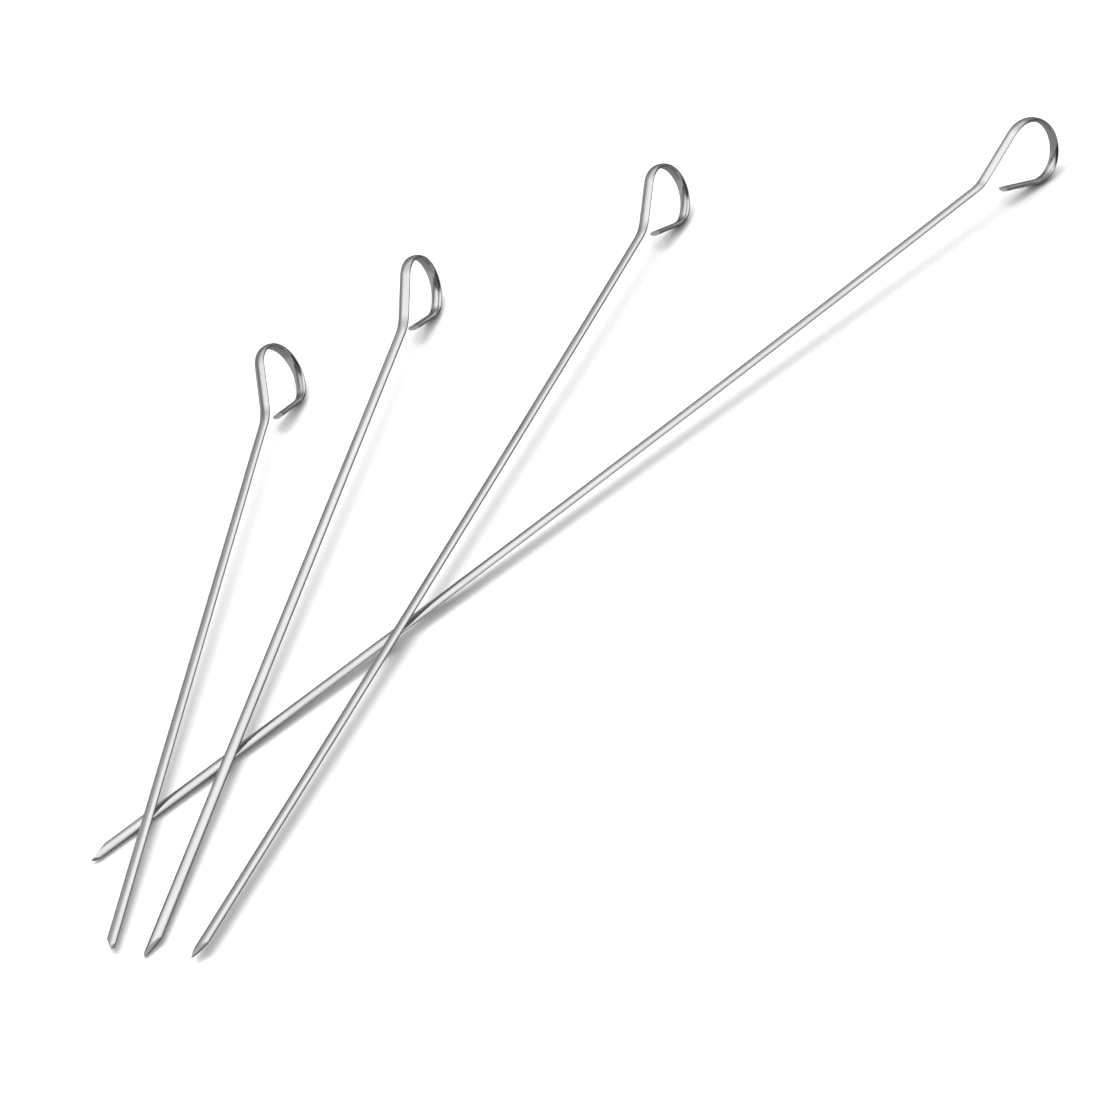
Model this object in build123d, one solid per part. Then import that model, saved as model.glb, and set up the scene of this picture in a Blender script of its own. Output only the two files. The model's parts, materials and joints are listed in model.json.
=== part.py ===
from build123d import *
import math
import os
from dataclasses import dataclass

# A set of four looped skewers in four lengths, lying as a loose fan on a table.
# Each skewer is one length of oval wire: a ground point, a long shaft, a bend at the neck,
# and a closed-up loop that serves as the grip and hanging eye.
# Millimetres, table at Z = 0, shafts pointing roughly along +Y, origin under the set's middle.

# Oval wire, the same for every skewer
WIRE_WIDTH = 3.2  # across the oval's long axis, square to the plane of the loop
WIRE_THICKNESS = 1.3  # across the short axis, which is the way the wire is bent

# Ground point
GRINDING_STOCK = 1.0  # wire in front of the apex, removed by the grinding planes
FACET_TILT = 32.0  # each bevel is two facets, tilted this many degrees to either side


@dataclass
class Loop:
    """The bent end of a skewer, followed from the shaft to the cut end."""

    neck_radius: float
    neck_angle: float  # turn to the left, away from the shaft line
    leg: float  # straight stretch up to the crown
    bends: list  # (radius, angle) of each arc that turns right, from crown to corner
    end_leg: float  # straight stretch back towards the neck


@dataclass
class Point:
    """A point ground with one bevel on each edge of the wire, lengths along the shaft."""

    left_bevel: float
    right_bevel: float
    apex_offset: float  # of the apex from the wire's middle, positive to the right


@dataclass
class Lie:
    """How a skewer lies on the table. Heights are of the wire's centre line."""

    tip: tuple  # place on the table under the wire's middle at the apex
    heading: float  # of the shaft, in degrees from +X
    roll: float  # tilt of the loop's plane about the shaft, right side down
    tip_height: float
    neck_height: float


@dataclass
class Skewer:
    name: str
    shaft: float  # straight-line length from the apex to the neck
    bow: float  # how far the shaft's middle bulges towards the loop's open side
    loop: Loop
    point: Point
    lie: Lie


SMALL_LOOP = Loop(
    neck_radius=12.5,
    neck_angle=27.0,
    leg=11.5,
    bends=[(7.8, 133.0), (9.2, 58.0), (6.3, 42.0)],
    end_leg=10.8,
)
LARGE_LOOP = Loop(
    neck_radius=10.0,
    neck_angle=23.5,
    leg=15.5,
    bends=[(9.8, 146.0), (7.3, 79.0)],
    end_leg=13.0,
)

SKEWERS = [
    Skewer(
        name="skewer_short",
        shaft=180.9,
        bow=0.0,
        loop=SMALL_LOOP,
        point=Point(left_bevel=3.6, right_bevel=1.6, apex_offset=0.8),
        lie=Lie(tip=(-105.2, -139.1), heading=80.2, roll=51.0, tip_height=1.75, neck_height=7.6),
    ),
    Skewer(
        name="skewer_medium",
        shaft=221.6,
        bow=0.0,
        loop=SMALL_LOOP,
        point=Point(left_bevel=0.8, right_bevel=6.5, apex_offset=-1.1),
        lie=Lie(tip=(-95.7, -140.9), heading=75.3, roll=63.0, tip_height=1.25, neck_height=8.4),
    ),
    Skewer(
        name="skewer_long",
        shaft=277.0,
        bow=0.5,
        loop=SMALL_LOOP,
        point=Point(left_bevel=3.4, right_bevel=5.2, apex_offset=-0.9),
        lie=Lie(tip=(-84.8, -142.5), heading=66.9, roll=57.0, tip_height=2.7, neck_height=8.2),
    ),
    Skewer(
        name="skewer_extra_long",
        shaft=330.1,
        bow=1.2,
        loop=LARGE_LOOP,
        point=Point(left_bevel=6.8, right_bevel=2.1, apex_offset=0.9),
        lie=Lie(tip=(-111.8, -109.2), heading=46.55, roll=68.0, tip_height=0.8, neck_height=9.7),
    ),
]


def shaft_line(skewer):
    """The grinding stock and the shaft, from the apex at the origin to the neck at (shaft, 0)."""
    if skewer.bow == 0:
        return Line((-GRINDING_STOCK, 0), (skewer.shaft, 0))
    half_turn = 2 * math.atan2(2 * skewer.bow, skewer.shaft)
    radius = skewer.shaft / 2 / math.sin(half_turn)
    middle = (skewer.shaft / 2, radius * math.cos(half_turn))
    turn = math.degrees(2 * half_turn + GRINDING_STOCK / radius)
    return CenterArc(middle, radius, math.degrees(half_turn) - 90 - turn, turn)


def centre_line(skewer):
    """The whole wire's centre line in the XY plane: left bends are +, right bends are -."""
    loop = skewer.loop
    pieces = [shaft_line(skewer)]

    def bend(radius, angle):
        last = pieces[-1]
        pieces.append(JernArc(last @ 1, last % 1, radius, angle))

    def straight(length):
        last = pieces[-1]
        pieces.append(Line(last @ 1, last @ 1 + (last % 1) * length))

    bend(loop.neck_radius, loop.neck_angle)
    straight(loop.leg)
    for radius, angle in loop.bends:
        bend(radius, -angle)
    straight(loop.end_leg)
    return Wire(pieces)


def grind_point(wire, point):
    """Cuts the wire's end to an apex, on the plane X = 0, with two facets on each edge."""
    apex = Vector(0, 0, point.apex_offset)
    for side, bevel in ((-1, point.left_bevel), (1, point.right_bevel)):
        slope = Vector(bevel, 0, side * WIRE_WIDTH / 2) - apex
        outward = Vector(-slope.Z, 0, slope.X) * side
        for tilt in (FACET_TILT, -FACET_TILT):
            normal = outward.rotate(Axis((0, 0, 0), slope), tilt)
            wire = split(wire, bisect_by=Plane(apex, z_dir=normal), keep=Keep.BOTTOM)
    return wire


def bent_wire(skewer):
    """One finished skewer with its loop in the XY plane, its apex at the origin."""
    line = centre_line(skewer)
    start = Plane(line @ 0, x_dir=(0, 0, 1), z_dir=line % 0)
    section = start * Ellipse(WIRE_WIDTH / 2, WIRE_THICKNESS / 2)
    return grind_point(sweep(section, path=line), skewer.point)


def laid_down(skewer):
    """The skewer turned and lifted to the way it lies on the table."""
    lie = skewer.lie
    pitch = math.degrees(math.asin((lie.neck_height - lie.tip_height) / skewer.shaft))
    turned = Rot(Z=lie.heading) * Rot(Y=-pitch) * Rot(X=lie.roll)
    return Pos(*lie.tip, lie.tip_height) * turned * bent_wire(skewer)


def main():
    laid = {skewer.name: laid_down(skewer) for skewer in SKEWERS}
    box = Compound(laid.values()).bounding_box()
    to_origin = Pos(-box.center().X, -box.center().Y, -box.min.Z)
    os.makedirs("parts", exist_ok=True)
    for name, skewer in laid.items():
        export_step(to_origin * skewer, f"parts/{name}.step")


main()
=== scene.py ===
import json
import math

import bmesh
import bpy
import numpy as np
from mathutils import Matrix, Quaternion, Vector

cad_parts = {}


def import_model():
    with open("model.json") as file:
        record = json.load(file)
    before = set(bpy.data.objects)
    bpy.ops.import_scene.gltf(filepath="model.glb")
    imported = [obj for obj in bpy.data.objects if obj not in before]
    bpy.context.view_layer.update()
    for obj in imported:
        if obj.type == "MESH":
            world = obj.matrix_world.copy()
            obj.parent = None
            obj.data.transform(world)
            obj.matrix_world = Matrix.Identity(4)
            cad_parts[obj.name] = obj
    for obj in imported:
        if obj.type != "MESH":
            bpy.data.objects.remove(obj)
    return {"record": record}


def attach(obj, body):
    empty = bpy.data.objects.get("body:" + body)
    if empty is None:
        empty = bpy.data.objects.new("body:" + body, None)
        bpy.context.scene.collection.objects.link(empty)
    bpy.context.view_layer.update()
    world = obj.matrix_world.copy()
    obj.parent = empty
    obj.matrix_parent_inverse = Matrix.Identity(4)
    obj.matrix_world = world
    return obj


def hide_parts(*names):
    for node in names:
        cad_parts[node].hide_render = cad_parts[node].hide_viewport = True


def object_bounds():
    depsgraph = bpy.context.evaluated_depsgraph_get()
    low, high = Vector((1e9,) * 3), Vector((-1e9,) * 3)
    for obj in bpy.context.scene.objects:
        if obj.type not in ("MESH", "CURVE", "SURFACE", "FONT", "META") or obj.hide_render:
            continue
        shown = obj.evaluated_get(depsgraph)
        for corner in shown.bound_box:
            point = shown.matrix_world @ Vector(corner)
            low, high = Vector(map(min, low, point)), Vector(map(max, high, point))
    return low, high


# Four looped skewers of polished oval wire, lying as a loose fan on a white table.
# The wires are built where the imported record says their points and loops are.
# Shapes are in millimetres until they are put in the frame, which is in metres.

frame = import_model()
cad_low, cad_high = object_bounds()

MM = 0.001

# Oval wire
WIRE_WIDTH = 3.2
WIRE_THICKNESS = 1.3
AROUND = 56  # vertices round the wire
SHAFT_STEP = 2.5  # between rings on straight stretches
BEND_STEP = 0.4  # between rings on bends
UV_LENGTH = 10  # of wire for one turn of the texture

# A drawn and straightened wire wanders a little from its line, in a few slow waves
WAVER = 0.03
WAVER_WAVES = [(9.0, 1.7), (15.0, 2.9), (26.0, 4.1)]  # length of a radian, and phase from skewer to skewer
WAVER_FADE = 30  # after the apex and before the neck

# Ground point
STOCK = 1.0  # wire in front of the apex, which the grinding takes off
FACET_TILT = 32.0  # of the upper and the lower facet from a square cut

# Cut end, as (scale of the oval, distance back): a slight burr round a hollow face
END_SHAPE = [
    (1.015, 0.12),
    (1.03, 0.05),
    (1.0, 0.0),
    (0.93, 0.0),
    (0.75, 0.03),
    (0.45, 0.06),
    (0.2, 0.07),
]
END_FACE = 2  # the step of END_SHAPE where the cut face starts

# Loops. Each bend is (radius, angle, how much painted dark reflection darkens its colour).
SMALL_LOOP = {
    "neck": (12.5, 27.0, 0.5),
    "leg": 11.5,
    "bends": [(7.8, 133.0, 0.55), (9.2, 58.0, 0.0), (6.3, 42.0, 1.0)],
    "end_leg": 10.8,
}
LARGE_LOOP = {
    "neck": (10.0, 23.5, 0.5),
    "leg": 15.5,
    "bends": [(9.8, 146.0, 0.55), (7.3, 28.0, 0.0), (7.3, 51.0, 1.0)],
    "end_leg": 13.0,
}
DARK_REFLECTION_FADE = 2.2  # over which a bend's painted dark reflection fades in

# The twist is the wire's turn at the apex. The bevels are (left, right) along the shaft, and
# the offset is the apex from the wire's middle.
SKEWERS = {
    "short": {
        "shaft": 180.9,
        "bow": 0.0,
        "twist": 9,
        "bevels": (3.6, 1.6),
        "offset": 0.8,
        "loop": SMALL_LOOP,
    },
    "medium": {
        "shaft": 221.6,
        "bow": 0.0,
        "twist": 12,
        "bevels": (0.8, 6.5),
        "offset": -1.1,
        "loop": SMALL_LOOP,
    },
    "long": {
        "shaft": 277.0,
        "bow": 0.5,
        "twist": 7,
        "bevels": (3.4, 5.2),
        "offset": -0.9,
        "loop": SMALL_LOOP,
    },
    "extra_long": {
        "shaft": 330.1,
        "bow": 1.2,
        "twist": 8,
        "bevels": (6.8, 2.1),
        "offset": 0.9,
        "loop": LARGE_LOOP,
    },
}

# Metal colours. A noise blends the two of a pair, and the loop's neck and bends blend towards a painted
# dark reflection colour.
POLISHED = ((0.74, 0.74, 0.73), (0.80, 0.80, 0.79))
# painted dark reflection: the colour that the loop's neck and bends are darkened towards
BEND_DARK_REFLECTION = (0.30, 0.30, 0.297)
GROUND = ((0.4, 0.4, 0.395), (0.6, 0.6, 0.595))
SHEARED = ((0.72, 0.72, 0.71), (0.42, 0.42, 0.42))

# Material slots of each wire
POLISHED_SLOT = 0
GROUND_SLOT = 1
SHEARED_SLOT = 2

# Table, in metres
TABLE_SIZE = 8.0
TABLE_TONE = (0.90, 0.92)
TABLE_GRAIN = 400.0
TABLE_IN_STEEL = (0.11, 0.27)  # painted shade: the table's tone for rays mirrored by the steel, from its back right to its front left
TABLE_AXIS = (0.6, 0.8, 0.0)  # to the back right
TABLE_TURN = (-0.9, 0.4)  # how far along TABLE_AXIS a ray points back where that starts and ends

# The room as the steel sees it: a bright canopy over a darker room, open at the front.
# Azimuths run from +Y, the back, towards +X, the right. Each of the first three is its value
# at azimuth -180 and the changes to it, as (from azimuth, to azimuth, change).
CANOPY_EDGE = (58, [(-140, -114, -34), (-10, 30, 21), (75, 95, -10), (110, 150, 23)])
CANOPY_LIGHT = (0.6, [(-140, -105, 0.7), (-60, -45, 0.1), (-10, 55, -0.55)])
ROOM_LIGHT = (
    0.04,
    [(-140, -114, 0.21), (-75, -40, 0.3), (0, 45, -0.38), (86, 104, 0.46), (118, 140, -0.59)],
)
CANOPY_SOFTNESS = 12  # degrees of elevation either side of the edge
ZENITH_LIGHT = 1.4
ZENITH_FADE = (45, 85)  # elevations between which the canopy turns to ZENITH_LIGHT
TABLE_FILL = 0.66  # extra share of light for diffuse surfaces, which are nearly all table
CAMERA_WHITE = 1.2  # what the camera sees past the table

# Key light, in metres, watts and degrees
KEY_SIZE = (0.4, 0.88)
KEY_POWER = 7.4
KEY_TOWARD = (-0.444, 0.148, 1.0)
KEY_DISTANCE = 1.1
KEY_TURN = 33.6

# Camera, in metres and degrees
CAMERA_AIM = (-0.01406, -0.00623)
CAMERA_ELEVATION = 44
CAMERA_DISTANCE = 1.492
CAMERA_CLIP = (0.05, 50)
SENSOR_WIDTH = 36  # mm
FOCAL_LENGTH = 5.3  # in widths of the picture


# ---------------------------------------------------------------- materials


class Nodes:
    """A small helper that adds and joins shader nodes."""

    def __init__(self, tree):
        self.tree = tree
        tree.nodes.clear()

    def feed(self, socket, value):
        """Joins a socket to a node's output, or gives it a plain value."""
        if isinstance(value, bpy.types.NodeSocket):
            self.tree.links.new(value, socket)
        else:
            socket.default_value = value

    def add(self, kind, **inputs):
        node = self.tree.nodes.new(kind)
        for name, value in inputs.items():
            self.feed(node.inputs[name.replace("_", " ")], value)
        return node

    def attribute(self, name):
        node = self.add("ShaderNodeAttribute")
        node.attribute_name = name
        return node.outputs

    def maths(self, operation, *values):
        node = self.add("ShaderNodeMath")
        node.operation = operation
        for socket, value in zip(node.inputs, values):
            self.feed(socket, value)
        return node.outputs[0]

    def remap(self, value, low, high, to_low, to_high):
        node = self.add("ShaderNodeMapRange")
        node.interpolation_type = "SMOOTHSTEP"
        names = ("Value", "From Min", "From Max", "To Min", "To Max")
        for name, number in zip(names, (value, low, high, to_low, to_high)):
            self.feed(node.inputs[name], number)
        return node.outputs[0]

    def noise(self, vector, scale, detail=2.0, roughness=0.5):
        node = self.add(
            "ShaderNodeTexNoise", Vector=vector, Scale=scale, Detail=detail, Roughness=roughness
        )
        return node.outputs[0]

    def mix(self, factor, first, second):
        """A number between two numbers."""
        node = self.add("ShaderNodeMix")
        for i, value in ((0, factor), (2, first), (3, second)):
            self.feed(node.inputs[i], value)
        return node.outputs[0]

    def blend(self, factor, first, second):
        """A colour between two colours, given as (red, green, blue) or as a colour socket."""
        node = self.add("ShaderNodeMix")
        node.data_type = "RGBA"
        self.feed(node.inputs["Factor"], factor)
        for i, colour in ((6, first), (7, second)):
            self.feed(node.inputs[i], (*colour, 1) if isinstance(colour, tuple) else colour)
        return node.outputs[2]

    def along(self, vector, direction):
        node = self.add("ShaderNodeVectorMath")
        node.operation = "DOT_PRODUCT"
        self.feed(node.inputs[0], vector)
        self.feed(node.inputs[1], direction)
        return node.outputs["Value"]

    def stretched(self, vector, scale):
        node = self.add("ShaderNodeVectorMath")
        node.operation = "MULTIPLY"
        self.feed(node.inputs[0], vector)
        self.feed(node.inputs[1], scale)
        return node.outputs[0]

    def surface(self, shader):
        self.add("ShaderNodeOutputMaterial", Surface=shader.outputs[0])


def new_material(name):
    material = bpy.data.materials.new(name)
    material.use_nodes = True
    return material, Nodes(material.node_tree)


def wire_place(nodes):
    """Place on the straightened wire in mm: across the oval, through it, and along it."""
    return nodes.attribute("wire_place")["Vector"]


def drawn_wire():
    """Polished wire with the fine lengthwise lines that the drawing die leaves."""
    material, nodes = new_material("polished_drawn_wire")
    place = wire_place(nodes)
    broad_lines = nodes.noise(nodes.stretched(place, (1.0, 1.0, 0.004)), scale=1.3)
    fine_place = nodes.stretched(place, (1.0, 1.0, 0.01))
    fine_lines = nodes.noise(fine_place, scale=9.0, detail=3.0, roughness=0.6)
    patches = nodes.noise(nodes.stretched(place, (0.5, 0.5, 0.06)), scale=1.0, detail=3.0)
    broad_relief = nodes.maths("MULTIPLY", broad_lines, 3.0)
    fine_relief = nodes.maths("MULTIPLY", fine_lines, 0.35)
    relief = nodes.maths("ADD", broad_relief, fine_relief)
    bump = nodes.add("ShaderNodeBump", Height=relief, Strength=1.0, Distance=0.006 * MM)
    tangent = nodes.add("ShaderNodeTangent")
    tangent.direction_type = "UV_MAP"
    tangent.uv_map = "WireMap"
    polished = nodes.blend(nodes.remap(patches, 0.35, 0.65, 0, 1), *POLISHED)
    # The base colour is darkened on the neck and bends, a painted dark reflection.
    shader = nodes.add(
        "ShaderNodeBsdfPrincipled",
        Base_Color=nodes.blend(nodes.attribute("painted_dark_reflection")["Fac"], polished, BEND_DARK_REFLECTION),
        Metallic=1.0,
        Roughness=nodes.remap(fine_lines, 0.3, 0.7, 0.1, 0.18),
        Anisotropic=0.35,
        Tangent=tangent.outputs[0],
        Normal=bump.outputs[0],
    )
    nodes.surface(shader)
    return material


def ground_facet():
    """The ground bevels of the point, with lines across the wire."""
    material, nodes = new_material("ground_point")
    place = nodes.stretched(wire_place(nodes), (0.4, 0.4, 1.0))
    lines = nodes.noise(place, scale=9.0, detail=3.0, roughness=0.7)
    bump = nodes.add("ShaderNodeBump", Height=lines, Strength=0.6, Distance=0.02 * MM)
    shader = nodes.add(
        "ShaderNodeBsdfPrincipled",
        Base_Color=nodes.blend(lines, *GROUND),
        Metallic=1.0,
        Roughness=nodes.remap(lines, 0.3, 0.7, 0.22, 0.36),
        Normal=bump.outputs[0],
    )
    nodes.surface(shader)
    return material


def sheared_face():
    """The cut end of the loop: smooth where the blade went in, torn where it came out."""
    material, nodes = new_material("sheared_end")
    place = wire_place(nodes)
    grain = nodes.noise(place, scale=5.0, detail=4.0, roughness=0.65)
    through = nodes.add("ShaderNodeSeparateXYZ", Vector=place).outputs["Y"]
    torn = nodes.remap(through, -0.25, 0.15, 1.0, 0.0)
    depth = nodes.remap(torn, 0, 1, 0.15, 0.8)
    bump = nodes.add("ShaderNodeBump", Height=grain, Strength=depth, Distance=0.04 * MM)
    shader = nodes.add(
        "ShaderNodeBsdfPrincipled",
        Base_Color=nodes.blend(nodes.maths("MULTIPLY", grain, torn), *SHEARED),
        Metallic=0.6,
        Roughness=nodes.remap(torn, 0, 1, 0.5, 0.75),
        Normal=bump.outputs[0],
    )
    nodes.surface(shader)
    return material


# ---------------------------------------------------------------- wires


def quaternion(axis, degrees):
    return Quaternion(axis.normalized(), math.radians(degrees))


class Line:
    """The wire's centre line in the plane of its loop, gathered ring by ring."""

    def __init__(self, heading):
        self.place = Vector((0.0, 0.0))
        self.heading = heading
        self.rings = []  # (x, y, heading) of each ring
        self.note()

    def note(self):
        self.rings.append((self.place.x, self.place.y, self.heading))

    def straight(self, length):
        count = max(1, round(length / SHAFT_STEP))
        for _ in range(count):
            self.place += Vector((math.cos(self.heading), math.sin(self.heading))) * length / count
            self.note()

    def bend(self, radius, angle, step=BEND_STEP):
        turn = math.radians(angle)
        count = max(2, round(abs(turn) * radius / step))
        chord = 2 * radius * math.sin(abs(turn) / count / 2)
        for _ in range(count):
            self.heading += turn / count / 2
            self.place += Vector((math.cos(self.heading), math.sin(self.heading))) * chord
            self.heading += turn / count / 2
            self.note()


def centre_line(skewer):
    """Rings from the stock in front of the apex to the cut end."""
    shaft, bow, loop = skewer["shaft"], skewer["bow"], skewer["loop"]
    lean = 2 * math.atan2(2 * bow, shaft)
    line = Line(-lean)
    if bow:
        line.bend(shaft / 2 / math.sin(lean), math.degrees(2 * lean), SHAFT_STEP)
    else:
        line.straight(shaft)
    x, y, heading = line.rings[0]
    line.rings.insert(0, (x - STOCK * math.cos(heading), y - STOCK * math.sin(heading), heading))
    radius, angle, _ = loop["neck"]
    line.bend(radius, angle)
    line.straight(loop["leg"])
    for radius, angle, _ in loop["bends"]:
        line.bend(radius, -angle)
    line.straight(loop["end_leg"])
    return np.array(line.rings)


def waver(along, seed, shaft):
    """A slow wander of the centre line, zero at the apex and past the neck."""
    waves = sum(math.sin(along / length + seed * phase) for length, phase in WAVER_WAVES)
    rise = min(1.0, along / WAVER_FADE)
    fall = max(0.0, min(1.0, (shaft - along) / WAVER_FADE))
    return WAVER / len(WAVER_WAVES) * waves * rise * fall


def dark_reflection_weight(along, skewer):
    """How much painted dark reflection darkens the wire, 0 to 1: on the neck and the loop's bends, each by
    its own weight.
    """
    loop = skewer["loop"]
    darkening = 0.0
    start = skewer["shaft"]
    for step, (radius, angle, dark_weight) in enumerate([loop["neck"], *loop["bends"]]):
        if step == 1:
            start += loop["leg"]
        end = start + radius * math.radians(angle)
        darkening = max(darkening, dark_weight * min(1.0, (along - start) / DARK_REFLECTION_FADE, (end - along) / DARK_REFLECTION_FADE))
        start = end
    return darkening


def wire_sections(skewer):
    """Cross-sections as (ring, scale, how far back, place along the wire), and the cut face's first."""
    rings = centre_line(skewer)
    steps = np.hypot(*np.diff(rings[:, :2], axis=0).T)
    along = np.concatenate([[0], np.cumsum(steps)]) - STOCK
    sections = [(ring, 1.0, 0.0, place) for ring, place in zip(rings[:-1], along[:-1])]
    cut_start = len(sections) + END_FACE
    sections += [(rings[-1], scale, back, along[-1] - back) for scale, back in END_SHAPE]
    return sections, cut_start


def add_circle(bm, section, skewer, seed):
    """The vertices of one cross-section, with the wire's twist and waver at that place."""
    (x, y, heading), scale, back, along = section
    place_layer = bm.verts.layers.float_vector["wire_place"]
    dark_reflection_layer = bm.verts.layers.float["painted_dark_reflection"]
    twist = math.radians(skewer["twist"]) * max(0.0, min(1.0, 1 - along / skewer["shaft"]))
    up = Vector((0, 0, 1))
    forward = Vector((math.cos(heading), math.sin(heading), 0))
    left = Vector((-math.sin(heading), math.cos(heading), 0))
    centre = Vector((x, y, 0)) - forward * back + left * waver(along, seed, skewer["shaft"])
    across = up * math.cos(twist) - left * math.sin(twist)
    through = left * math.cos(twist) + up * math.sin(twist)
    circle = []
    for i in range(AROUND):
        angle = 2 * math.pi * i / AROUND
        wide = WIRE_WIDTH / 2 * scale * math.cos(angle)
        thin = WIRE_THICKNESS / 2 * scale * math.sin(angle)
        vertex = bm.verts.new(centre + across * wide + through * thin)
        vertex[place_layer] = Vector((wide, thin, along))
        # painted dark reflection weight, which darkens the colour of the neck and bends
        vertex[dark_reflection_layer] = dark_reflection_weight(along, skewer)
        circle.append(vertex)
    return circle


def join_circles(bm, here, there, v_here, v_there, slot):
    """The smooth band of faces between two cross-sections."""
    uv_layer = bm.loops.layers.uv["WireMap"]
    for i in range(AROUND):
        j = (i + 1) % AROUND
        face = bm.faces.new((here[i], here[j], there[j], there[i]))
        face.smooth = True
        face.material_index = slot
        corners = ((i, v_here), (i + 1, v_here), (i + 1, v_there), (i, v_there))
        for loop, (u, v) in zip(face.loops, corners):
            loop[uv_layer].uv = (u / AROUND, v)


def close_ends(bm, circles):
    stock_end = bm.faces.new(list(reversed(circles[0])))
    stock_end.material_index = GROUND_SLOT
    cut_middle = bm.faces.new(circles[-1])
    cut_middle.material_index = SHEARED_SLOT
    cut_middle.smooth = True


def wire_mesh(skewer, seed):
    """The skewer's mesh with its loop in the XY plane and its apex line at the origin."""
    bm = bmesh.new()
    bm.verts.layers.float_vector.new("wire_place")
    bm.verts.layers.float.new("painted_dark_reflection")
    bm.loops.layers.uv.new("WireMap")
    sections, cut_start = wire_sections(skewer)
    circles = [add_circle(bm, section, skewer, seed) for section in sections]
    places = [along / UV_LENGTH for _, _, _, along in sections]
    for r in range(len(sections) - 1):
        slot = SHEARED_SLOT if r >= cut_start else POLISHED_SLOT
        join_circles(bm, circles[r], circles[r + 1], places[r], places[r + 1], slot)
    close_ends(bm, circles)
    bmesh.ops.recalc_face_normals(bm, faces=bm.faces)
    grind(bm, skewer)
    return bm


def grind(bm, skewer):
    """Cuts the point: two facets on each edge of the wire, each closed with a flat face."""
    apex = Vector((0, 0, skewer["offset"]))
    for side, bevel in zip((-1, 1), skewer["bevels"]):
        slope = Vector((bevel, 0, side * WIRE_WIDTH / 2)) - apex
        outward = Vector((-slope.z, 0, slope.x)) * side
        for tilt in (FACET_TILT, -FACET_TILT):
            turned = outward.copy()
            turned.rotate(quaternion(slope, tilt))
            cut = bmesh.ops.bisect_plane(
                bm,
                geom=bm.verts[:] + bm.edges[:] + bm.faces[:],
                dist=1e-6,
                plane_co=apex,
                plane_no=turned,
                clear_outer=True,
            )
            rim = [e for e in cut["geom_cut"] if isinstance(e, bmesh.types.BMEdge) and e.is_boundary]
            for face in bmesh.ops.contextual_create(bm, geom=rim)["faces"]:
                face.material_index = GROUND_SLOT
                face.smooth = False
            for edge in rim:
                edge.smooth = False
    bmesh.ops.recalc_face_normals(bm, faces=bm.faces)


def build(name, skewer, seed, materials):
    """Puts a skewer where the record's mounts have its point and its loop's axis."""
    mounts = {entry["name"]: entry for entry in frame["record"]["mounts"]}
    point, loop = mounts[name + "_point"], mounts[name + "_loop"]
    across = Vector(loop["axis"]).normalized()
    shaft = -Vector(point["axis"]).normalized()
    left = across.cross(shaft)
    start = Vector(point["pos_m"]) - across * skewer["offset"] * MM
    bm = wire_mesh(skewer, seed)
    for vertex in bm.verts:
        x, y, z = vertex.co * MM
        vertex.co = start + shaft * x + left * y + across * z
    mesh = bpy.data.meshes.new("looped_wire_" + name)
    bm.to_mesh(mesh)
    bm.free()
    for material in materials:
        mesh.materials.append(material)
    piece = bpy.data.objects.new("looped_wire_" + name, mesh)
    bpy.context.scene.collection.objects.link(piece)
    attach(piece, name)
    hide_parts("skewer_" + name)


# ---------------------------------------------------------------- table, light and camera


def table():
    """A white table that carries on far past the picture. The steel mirrors it darker, a painted shade."""
    material, nodes = new_material("white_table")
    where = nodes.add("ShaderNodeTexCoord").outputs["Object"]
    grain = nodes.noise(where, scale=TABLE_GRAIN, detail=3.0)
    ray = nodes.add("ShaderNodeNewGeometry").outputs["Incoming"]
    in_steel = nodes.remap(nodes.along(ray, TABLE_AXIS), *TABLE_TURN, *TABLE_IN_STEEL)
    glossy = nodes.add("ShaderNodeLightPath").outputs["Is Glossy Ray"]
    # painted shade: glossy rays from the steel see a darker table tone
    tone = nodes.mix(glossy, nodes.remap(grain, 0.0, 1.0, *TABLE_TONE), in_steel)
    white = nodes.add("ShaderNodeCombineColor", Red=tone, Green=tone, Blue=tone)
    nodes.surface(nodes.add("ShaderNodeBsdfDiffuse", Color=white.outputs[0]))
    bpy.ops.mesh.primitive_plane_add(size=TABLE_SIZE, location=(0, 0, cad_low.z))
    floor = bpy.context.object
    floor.name = "table"
    floor.data.materials.append(material)


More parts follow.
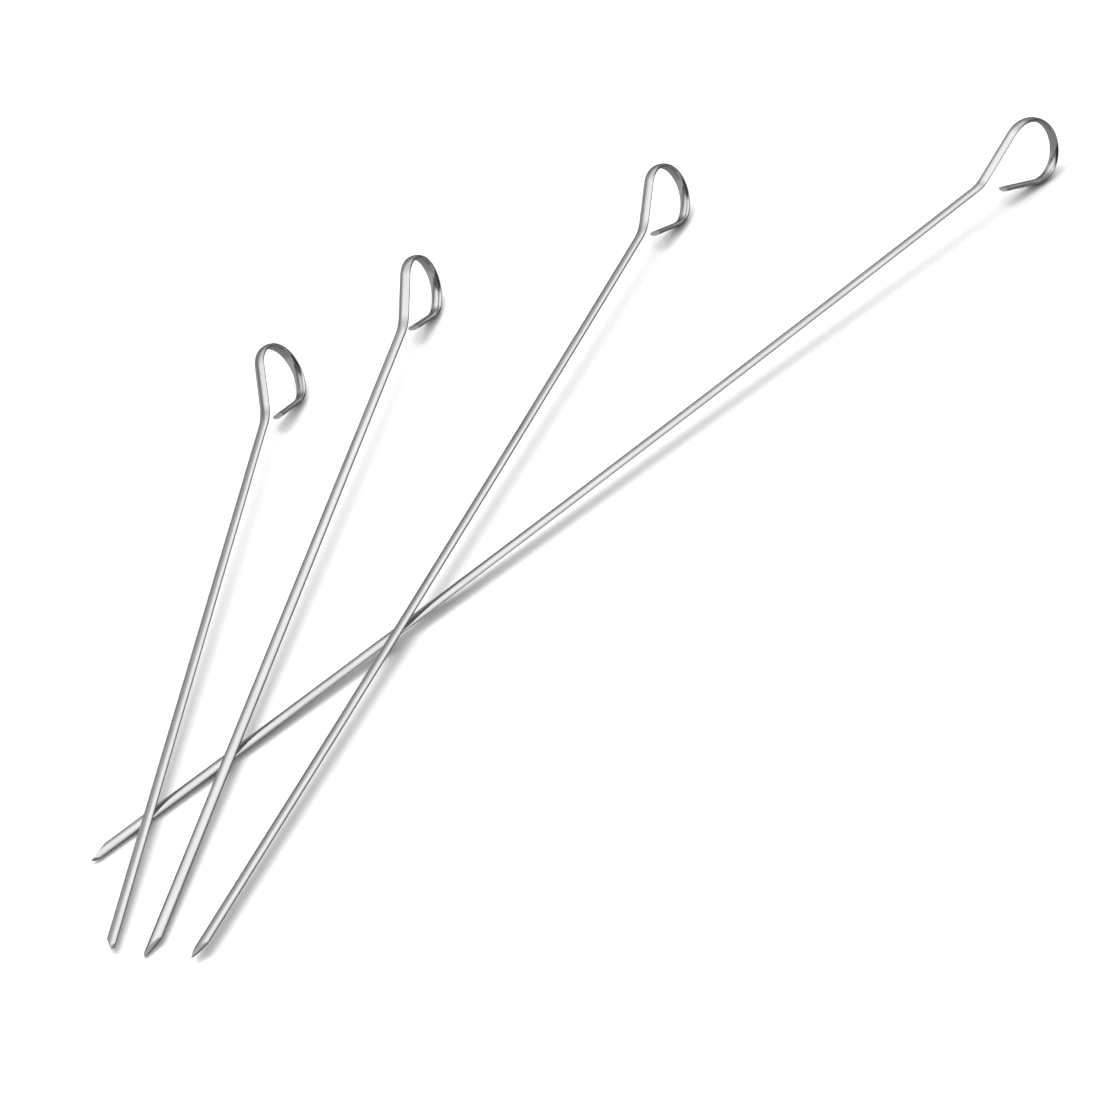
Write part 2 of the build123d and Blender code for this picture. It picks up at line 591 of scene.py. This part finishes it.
def world():
    """The room that the steel mirrors. The camera sees plain white."""
    room = bpy.data.worlds.new("studio")
    bpy.context.scene.world = room
    room.use_nodes = True
    nodes = Nodes(room.node_tree)
    direction = nodes.add("ShaderNodeTexCoord").outputs["Generated"]
    x, y, z = nodes.add("ShaderNodeSeparateXYZ", Vector=direction).outputs
    azimuth = nodes.maths("MULTIPLY", nodes.maths("ARCTAN2", x, y), 180 / math.pi)
    elevation = nodes.maths("MULTIPLY", nodes.maths("ARCSINE", z), 180 / math.pi)

    def round_the_room(start, changes):
        value = start
        for low, high, change in changes:
            value = nodes.maths("ADD", value, nodes.remap(azimuth, low, high, 0, change))
        return value

    above_edge = nodes.maths("SUBTRACT", elevation, round_the_room(*CANOPY_EDGE))
    canopy = nodes.remap(above_edge, -CANOPY_SOFTNESS, CANOPY_SOFTNESS, 0, 1)
    overhead = nodes.remap(elevation, *ZENITH_FADE, 0, 1)
    bright = nodes.mix(overhead, round_the_room(*CANOPY_LIGHT), ZENITH_LIGHT)
    strength = nodes.mix(canopy, round_the_room(*ROOM_LIGHT), bright)
    path = nodes.add("ShaderNodeLightPath").outputs
    fill = nodes.maths("MULTIPLY_ADD", path["Is Diffuse Ray"], TABLE_FILL, 1.0)
    strength = nodes.maths("MULTIPLY", strength, fill)
    strength = nodes.mix(path["Is Camera Ray"], strength, CAMERA_WHITE)
    shade = nodes.add("ShaderNodeBackground", Strength=strength)
    nodes.add("ShaderNodeOutputWorld", Surface=shade.outputs[0])


def key_light():
    """A long soft light, up on the left and a little behind. The steel doesn't mirror it."""
    light = bpy.data.lights.new("key", "AREA")
    light.shape = "RECTANGLE"
    light.size, light.size_y = KEY_SIZE
    light.energy = KEY_POWER
    holder = bpy.data.objects.new("key", light)
    bpy.context.scene.collection.objects.link(holder)
    toward = Vector(KEY_TOWARD).normalized()
    turn = quaternion(Vector((0, 0, 1)), KEY_TURN)
    holder.location = toward * KEY_DISTANCE
    holder.rotation_mode = "QUATERNION"
    holder.rotation_quaternion = toward.to_track_quat("Z", "Y") @ turn
    holder.visible_glossy = False


def camera():
    """The photograph's view: from the front and above, with a long lens."""
    elevation = math.radians(CAMERA_ELEVATION)
    back = Vector((0, -math.cos(elevation), math.sin(elevation)))
    data = bpy.data.cameras.new("camera")
    data.sensor_width = SENSOR_WIDTH
    data.lens = SENSOR_WIDTH * FOCAL_LENGTH
    data.clip_start, data.clip_end = CAMERA_CLIP
    holder = bpy.data.objects.new("camera", data)
    bpy.context.scene.collection.objects.link(holder)
    holder.location = Vector((*CAMERA_AIM, cad_low.z)) + back * CAMERA_DISTANCE
    holder.rotation_mode = "QUATERNION"
    holder.rotation_quaternion = (-back).to_track_quat("-Z", "Y")
    bpy.context.scene.camera = holder


steel = [drawn_wire(), ground_facet(), sheared_face()]
for seed, (name, skewer) in enumerate(SKEWERS.items()):
    build(name, skewer, seed, steel)
table()
world()
key_light()
camera()
bpy.context.scene.view_settings.view_transform = "Standard"
